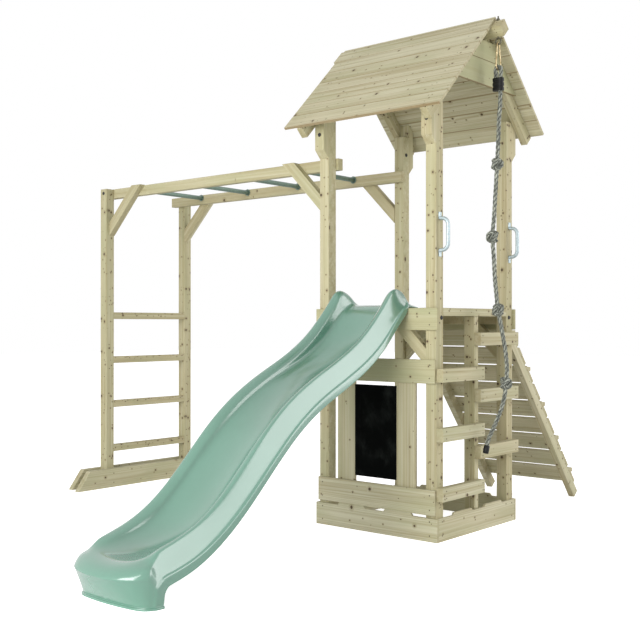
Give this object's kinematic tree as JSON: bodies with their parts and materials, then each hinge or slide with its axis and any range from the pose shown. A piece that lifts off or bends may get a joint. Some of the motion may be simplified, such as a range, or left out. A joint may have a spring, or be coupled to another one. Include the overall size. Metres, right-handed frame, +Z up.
{
  "type": "play tower",
  "caption": "Timber play tower with pitched roof, plastic slide, monkey bars, climbing ramp, staggered steps, chalkboard, sandbox frame and a hanging knotted rope.",
  "frame": {"origin": "middle of the assembled set on the ground, without the rope", "axes": "+Z up; +Y from the slide's end towards the ramp; +X along the ridge, from the monkey bars' ladder towards the rope"},
  "size_m": [3.2578, 3.8887, 2.9888],
  "materials": {
    "pine": "pressure-treated sawn softwood, matt",
    "pale_pine": "pressure-treated planed softwood, matt",
    "mint_plastic": "blow-moulded polyethylene, soft gloss",
    "galvanised_steel": "zinc-plated",
    "brass": "yellow-passivated",
    "black_plastic": "moulded, matt",
    "chalkboard": "matt black painted board",
    "rope": "laid grey and black fibre"
  },
  "bodies": {
    "tower": {"post_front_slide_side": "pine", "post_front_ramp_side": "pine", "post_back_slide_side": "pine", "post_back_ramp_side": "pine", "step_post": "pine", "deck": "pale_pine", "deck_beam_front": "pine", "deck_beam_back": "pine", "fascia_slide_side": "pine", "fascia_ramp_side": "pine", "sandbox_slide_side": "pine", "sandbox_ramp_side": "pine", "sandbox_front": "pine", "sandbox_back": "pine", "upper_rail_board": "pine", "lower_rail_board": "pine", "upright_left": "pine", "upright_right": "pine", "chalkboard": "chalkboard", "step_near_1": "pine", "step_near_2": "pine", "step_near_3": "pine", "step_far_1": "pine", "step_far_2": "pine", "step_far_3": "pine", "handle_slide_side": "galvanised_steel", "handle_ramp_side": "galvanised_steel", "ridge_beam": "pine", "roof_slide_side": "pale_pine", "roof_ramp_side": "pale_pine", "rafter_front_slide_side": "pine", "rafter_front_ramp_side": "pine", "rafter_back_slide_side": "pine", "rafter_back_ramp_side": "pine", "gable_front": "pale_pine", "gable_back": "pale_pine", "bars_rail_near": "pine", "bars_rail_far": "pine", "bar_1": "galvanised_steel", "bar_2": "galvanised_steel", "bar_3": "galvanised_steel", "bar_4": "galvanised_steel", "ladder_post_near": "pine", "ladder_post_far": "pine", "rung_1": "pine", "rung_2": "pine", "rung_3": "pine", "rung_4": "pine", "base_board_front": "pine", "base_board_back": "pine", "ramp_slatted_side": "pine", "ramp_stringer": "pine", "slide": "mint_plastic", "eye_bolt": "galvanised_steel"},
    "rope_link": {"rope_link": "brass"},
    "climbing_rope": {"climbing_rope": "rope", "rope_clamp": "black_plastic", "rope_end_cap": "black_plastic"}
  },
  "joints": [
    {"name": "link_swing", "type": "hinge", "parent": "tower", "child": "rope_link", "pos_m": [1.5715, 0.475, 2.8355], "axis": [0, 1, 0], "range_deg": [-40, 1]},
    {"name": "rope_swing", "type": "hinge", "parent": "rope_link", "child": "climbing_rope", "pos_m": [1.5715, 0.475, 2.7045], "axis": [1, 0, 0], "range_deg": [-30, 30]}
  ]
}
